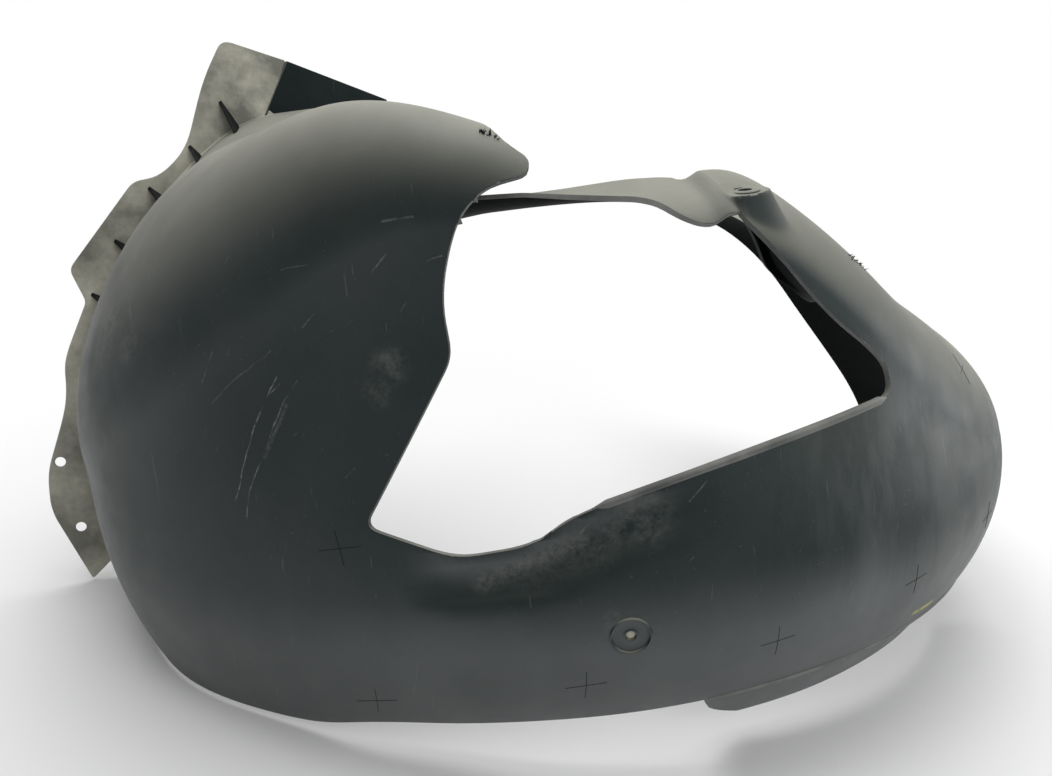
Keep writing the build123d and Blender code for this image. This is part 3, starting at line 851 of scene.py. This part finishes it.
# Less dust, and none of the painted floor reflection
CLEAN = plastic("clean_black_plastic", BLACK, BEIGE, 0.01, 0.3, 0.0, 0.6, 0.07)
# Heavy dust film, made lighter still as painted light on the flange's faces
DUST_AND_LIGHT = plastic("dusty_and_lit_black_plastic", (0.14, 0.137, 0.116), (0.62, 0.60, 0.50), 0.95, 0.3, 0.0, 0.7, 0.25)
# Near-black copy of the black plastic; on the inner faces of the sheets it is painted shade
DARK = plastic(
    "dark_black_plastic", (0.002, 0.0024, 0.0024), (0.04, 0.04, 0.036), 0.02, 0.05, 0.0, 0.6, 0.06,
)
# Pale cut edge; on the rim bead it is a painted highlight
CUT_EDGE_AND_HIGHLIGHT = plastic("cut_edge_and_highlight_plastic", *EDGE)
# The shell's edges deep in the far end get painted shade
RIM = plastic("shell_edge", *EDGE, painted_shade=(Vector(to_row(SHADE_POINT)), *SHADE_RADII))
# Inner faces take the near-black copy as painted shade
shell = piece("liner_skin", skin, (SKIN, DARK, RIM), WALL, SHELL_BREAK)
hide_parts("liner_shell")

R = RECESS_R
D = -RECESS_DEEP
H = CLIP_HOLE_R
cup = [
    (R + 0.4, 0.0), (R, 0.05), (R - 0.3, -0.4), (R - 0.5, D + 0.3), (R - 0.9, D), (H + 1.6, D),
    (H + 1.1, D + 0.5), (H + 0.3, D + 0.5), (H, D + 0.2), (H, D - WALL), (R + 2.0, D - WALL),
    (R + 2.4, -WALL + 0.4),
]
piece("clip_recess", lathe(cup, recess_seat, recess_axis), (PLAIN,))
plug = [
    (0.0, D - 0.5), (1.2, D - 0.45), (2.1, D - 0.7), (H + 0.2, D - 0.9), (H + 0.2, D - 2.0), (0.0, D - 2.2),
]
piece("recess_dirt", lathe(plug, recess_seat, recess_axis), (DUST_AND_LIGHT,))

collar = [
    (COLLAR_R + 1.5, 0.2), (COLLAR_R + 1.2, 1.0), (COLLAR_R, 1.3), (BOSS_HOLE_R + 0.5, 1.3),
    (BOSS_HOLE_R, 0.8), (BOSS_HOLE_R, -WALL), (BOSS_HOLE_R + 2.5, -WALL - 0.2), (COLLAR_R + 1.0, -WALL),
]
piece("boss_collar", lathe(collar, boss_top, boss_axis), (PLAIN,))

# Rolled lip along the lower edge of the window
line = [on_arch(h, TREAD_R - 1.6 - WALL_LEAN * (z - RIM_Z - RIM_RISE), z) for h, z in BEAD_STATIONS]
line = spline(line, np.linspace(0, len(line) - 1, 90))
piece("window_lip", tube(line, BEAD_R), (CUT_EDGE_AND_HIGHLIGHT,))

# Rear flange with its tab and folded wing
end = [np.array(v) for v in STATIONS[0]]
edge_curve = shoulder(end[2], rim_of(end)[1], end[5], end[6], end[7], end[8], WALL / 2)
corner_x = -REAR_WALL_X - FLANGE_OUT
corner_z = rest_z(corner_x, REAR_END_Y)
flange = [(-REAR_WALL_X + 2, corner_z + FLANGE_TOE, 0), (corner_x, corner_z, 3)] + FLANGE_EDGE
root_line = []
for t in np.linspace(1, 0, 25):
    r, z = cubic(edge_curve, t)
    flange.append((-r, z, 0))
    root_line.append(np.array((-r, REAR_END_Y - FLANGE_T, z)))
holes = [circle(TAB_HOLE_X, TAB_HOLE_Z + k * TAB_PITCH, TAB_HOLE_R) for k in (0, 1)]
sheet = plate(rounded(flange), holes, lambda x, z: (x, REAR_END_Y - FLANGE_T, z), (0.0, -1.0, 0.0))
piece("rear_flange", sheet, (DUST_AND_LIGHT, DUST_AND_LIGHT, CUT_EDGE_AND_HIGHLIGHT), FLANGE_T, SHEET_BREAK)
piece("flange_root", tube(root_line, ROOT_R), (DUST_AND_LIGHT,))
mid = REAR_END_Y - FLANGE_T / 2
fold = [
    (WING_TOP[0], mid, WING_TOP[1]),
    (WING_TOP[0] + WING_X, mid + WING_Y, WING_TOP[1] + WING_Z),
    (WING_FOOT[0] + WING_X, mid + WING_Y, WING_FOOT[1] + WING_Z),
    (WING_FOOT[0], mid, WING_FOOT[1]),
]
piece("rear_wing", from_points(fold, [(0, 1, 2, 3)]), (CLEAN, CLEAN, CUT_EDGE_AND_HIGHLIGHT), FLANGE_T, SHEET_BREAK)
fold_run = np.array(fold[3]) - np.array(fold[0])
fold_line = [np.array(fold[0]) + s * fold_run for s in np.linspace(0.02, 1, 16)]
# The fold rod's pale finish is partly a painted highlight along the fold
piece("wing_fold", tube(fold_line, FOLD_R), (DUST_AND_LIGHT,))

ribs = bmesh.new()
for t, out in GUSSETS:
    ends = []
    for st in (STATIONS[0], STATIONS[1]):
        st = [np.array(v) for v in st]
        curve = shoulder(st[2], rim_of(st)[1], st[5], st[6], st[7], st[8], WALL / 2)
        here, there = cubic(curve, t), cubic(curve, t + 0.001)
        ends.append((np.array((-here[0], here[1])), np.array((-there[0], there[1]))))
    base = ends[0][0]
    run = (ends[0][1] - base) / np.linalg.norm(ends[0][1] - base)
    out_dir = np.array((-run[1], run[0]))
    s = GUSSET_REACH / (REAR_END_Y / 2)
    heel = base + s * (ends[1][0] - base)
    tip = base + out * out_dir
    corners = [(base[0], mid, base[1]), (tip[0], mid, tip[1]), (heel[0], mid - GUSSET_REACH, heel[1])]
    thick = np.array((run[0], 0.0, run[1])) * GUSSET_T / 2
    verts = [ribs.verts.new(to_row(np.array(c) + d * thick)) for d in (-1, 1) for c in corners]
    for f in ((0, 1, 2), (5, 4, 3), (0, 3, 4, 1), (1, 4, 5, 2), (2, 5, 3, 0)):
        ribs.faces.new([verts[k] for k in f])
bmesh.ops.recalc_face_normals(ribs, faces=ribs.faces)
piece("flange_gussets", ribs, (DARK,), 0.0, 0.5)


def rim_at(heading):
    st = [v[:, None] for v in table_at(np.atleast_1d(heading)).T]
    return (st[2] - st[4]).ravel(), rim_of(st)[0].ravel()


# Lip below the crown
headings = np.linspace(SKIRT_REAR, SKIRT_FRONT, 80)
top, low = rim_at(headings)
points = []
for h, r, z in zip(headings, top, low):
    full = min(1.0, 0.3 + 0.7 * math.sqrt(min(h - SKIRT_REAR, SKIRT_FRONT - h) / SKIRT_TAPER))
    for v in full * np.linspace(0, 1, 9):
        points.append(on_arch(h, r - 1.0 - (SKIRT_LEAN - 1.0) * v, z + WALL - (SKIRT_DROP + WALL) * v))
lip = from_points(points, quads(len(headings), 9))
bmesh.ops.reverse_faces(lip, faces=lip.faces)
# Its inner face takes the near-black copy as painted shade
piece("crown_lip", lip, (PLAIN, DARK, CUT_EDGE_AND_HIGHLIGHT), WALL, SHEET_BREAK)
# Thin bead along the rim, whose pale edge finish is a painted highlight
bead = list(on_arch(headings, top - 0.6, low + 0.7))
piece("rim_bead", tube(bead, RIM_BEAD_R), (CUT_EDGE_AND_HIGHLIGHT,))

# Front fixing tab
radius_foot, rim_foot = (float(v[0]) for v in rim_at(FOOT_HEADING))
foot_seat = on_arch(FOOT_HEADING, radius_foot, 0.0)
low = rest_z(foot_seat[0], foot_seat[1])
a = math.radians(FOOT_HEADING)
half = FOOT_WIDE / 2
cut = FOOT_WIDE / 4
foot_top = rim_foot + FOOT_LAP
tab = [
    (-half, foot_top, 0), (-half, low + cut, 4), (-half + cut, low, 4),
    (half - cut, low, 4), (half, low + cut, 4), (half, foot_top, 0),
]
holes = [circle(d, low + FOOT_HOLE_UP, FOOT_HOLE_R) for d in (-FOOT_PITCH / 2, FOOT_PITCH / 2)]
foot_out = np.array((math.sin(a), -math.cos(a), 0.0))
foot_face = foot_seat + WALL * foot_out


def on_foot(x, z):
    return foot_face + np.array((math.cos(a) * x, math.sin(a) * x, z))


sheet = plate(rounded(tab), holes, on_foot, foot_out)
# Its inner face takes the near-black copy as painted shade
piece("front_tab", sheet, (PLAIN, DARK, CUT_EDGE_AND_HIGHLIGHT), WALL, SHEET_BREAK)


def crown_at(x, z):
    """Place and normal on the crown in front of a point in X and Z."""
    start = Vector(to_row((x, -520.0, z)))
    return tree.ray_cast(start, Vector(TURN @ np.array((0.0, 1.0, 0.0))))[:2]


# Moulded grid crosses, as fine raised lines
lines = bmesh.new()
for cx, cz in CROSSES:
    for dx, dz in ((1, 0), (0, 1)):
        ahead = Vector(TURN @ np.array((dx, 0.0, dz)))
        row = []
        for k in np.linspace(-CROSS_ARM, CROSS_ARM, 11):
            here, normal = crown_at(cx + dx * k, cz + dz * k)
            across = normal.cross(ahead).normalized()
            row.append([lines.verts.new(here + across * w + normal * h) for w, h in CROSS_RIDGE])
        for one, two in zip(row, row[1:]):
            for n in range(3):
                lines.faces.new((one[n - 1], two[n - 1], two[n], one[n]))
        lines.faces.new(row[0])
        lines.faces.new(row[-1][::-1])
bmesh.ops.recalc_face_normals(lines, faces=lines.faces)
piece("grid_crosses", lines, (DARK,))

# Ragged whiskers where the plastic was torn
whiskers = bmesh.new()
for one, two in BURRS:
    for _ in range(WHISKERS):
        s = random.random()
        x = one[0] + s * (two[0] - one[0])
        y = one[1] + s * (two[1] - one[1]) + random.uniform(-1, 2)
        here, normal = seen((x, y))
        if here is None:
            continue
        way = (normal + Vector([random.uniform(-0.9, 0.9) for _ in range(3)])).normalized()
        curl = Vector([random.uniform(-1, 1) for _ in range(3)])
        across = way.cross(curl).normalized() * random.uniform(0.0004, 0.0008)
        long = random.uniform(0.0012, 0.0034)
        tip = here + way * long + curl * 0.3 * long
        back = here - normal * 0.0008
        root = [whiskers.verts.new(back + d) for d in (across, -across, across.cross(way) * 0.8)]
        end_point = whiskers.verts.new(tip)
        whiskers.faces.new(root)
        for k in range(3):
            whiskers.faces.new((root[k - 1], root[k], end_point))
bmesh.ops.recalc_face_normals(whiskers, faces=whiskers.faces)
piece("torn_edges", whiskers, (DARK,))

# Floor, light and camera
floor_mesh = bpy.data.meshes.new("floor")
floor_mesh.from_pydata([(-6, -6, 0), (6, -6, 0), (6, 6, 0), (-6, 6, 0)], [], [(0, 1, 2, 3)])
floor = bpy.data.objects.new("floor", floor_mesh)
bpy.context.scene.collection.objects.link(floor)


def white_to_rays(tree):
    """Factor that is 1 for rays straight from the camera, and for mirrored and passed ones."""
    path = node(tree, "ShaderNodeLightPath")
    total = path.outputs["Is Camera Ray"]
    for name in ("Is Glossy Ray", "Is Transmission Ray"):
        either = node(tree, "ShaderNodeMath", operation="MAXIMUM")
        tree.links.new(total, either.inputs[0])
        tree.links.new(path.outputs[name], either.inputs[1])
        total = either.outputs["Value"]
    return total


pale = bpy.data.materials.new("pale_floor")
pale.use_nodes = True
tree_f = pale.node_tree
matt = tree_f.nodes["Principled BSDF"]
matt.inputs["Base Color"].default_value = (0.86, 0.86, 0.86, 1.0)
matt.inputs["Roughness"].default_value = 0.9
matt.inputs["Specular IOR Level"].default_value = 0.1
white = node(tree_f, "ShaderNodeEmission")
white.inputs["Color"].default_value = (1.0, 1.0, 1.0, 1.0)
white.inputs["Strength"].default_value = 1.0
place = node(tree_f, "ShaderNodeTexCoord")
far = node(tree_f, "ShaderNodeVectorMath", operation="LENGTH")
tree_f.links.new(place.outputs["Object"], far.inputs[0])
fade = node(tree_f, "ShaderNodeMapRange", interpolation_type="SMOOTHSTEP")
fade.inputs["From Min"].default_value = FLOOR_FADE[0]
fade.inputs["From Max"].default_value = FLOOR_FADE[1]
tree_f.links.new(far.outputs["Value"], fade.inputs["Value"])
show = node(tree_f, "ShaderNodeMath", operation="MULTIPLY")
tree_f.links.new(fade.outputs["Result"], show.inputs[0])
tree_f.links.new(white_to_rays(tree_f), show.inputs[1])
blend = node(tree_f, "ShaderNodeMixShader")
tree_f.links.new(show.outputs["Value"], blend.inputs[0])
tree_f.links.new(matt.outputs[0], blend.inputs[1])
tree_f.links.new(white.outputs[0], blend.inputs[2])
tree_f.links.new(blend.outputs[0], tree_f.nodes["Material Output"].inputs["Surface"])
floor_mesh.materials.append(pale)

world = bpy.data.worlds.new("studio")
bpy.context.scene.world = world
world.use_nodes = True
tree_w = world.node_tree
soft = tree_w.nodes["Background"]
soft.inputs["Color"].default_value = (1.0, 1.0, 1.0, 1.0)
soft.inputs["Strength"].default_value = 0.35
clear = node(tree_w, "ShaderNodeBackground")
clear.inputs["Color"].default_value = (1.0, 1.0, 1.0, 1.0)
clear.inputs["Strength"].default_value = 1.0
pick = node(tree_w, "ShaderNodeMixShader")
tree_w.links.new(white_to_rays(tree_w), pick.inputs[0])
tree_w.links.new(soft.outputs[0], pick.inputs[1])
tree_w.links.new(clear.outputs[0], pick.inputs[2])
tree_w.links.new(pick.outputs[0], tree_w.nodes["World Output"].inputs["Surface"])


def lamp(name, place, aim, size, power):
    data = bpy.data.lights.new(name, "AREA")
    data.shape = "RECTANGLE"
    data.size, data.size_y = size
    data.energy = power
    obj = bpy.data.objects.new(name, data)
    obj.location = place
    obj.rotation_euler = (Vector(aim) - Vector(place)).to_track_quat("-Z", "Y").to_euler()
    bpy.context.scene.collection.objects.link(obj)


lamp("top_soft", (0.1, 0.3, 1.9), (0, 0, 0.2), (2.0, 1.6), 35.0)
lamp("front_soft", (0.6, -1.9, 0.9), (0, 0, 0.2), (1.2, 1.2), 12.0)
lamp("right_soft", (1.8, -0.7, 0.4), (0.2, 0, 0.2), (1.0, 0.8), 11.0)

lens = bpy.data.cameras.new("camera")
lens.sensor_width = 36.0
lens.lens = FOCAL / PICTURE[0] * lens.sensor_width
eye = bpy.data.objects.new("camera", lens)
bpy.context.scene.collection.objects.link(eye)
eye.location = CAMERA
eye.rotation_euler = FORWARD.to_track_quat("-Z", "Y").to_euler()
bpy.context.scene.camera = eye
bpy.context.scene.view_settings.view_transform = "Standard"
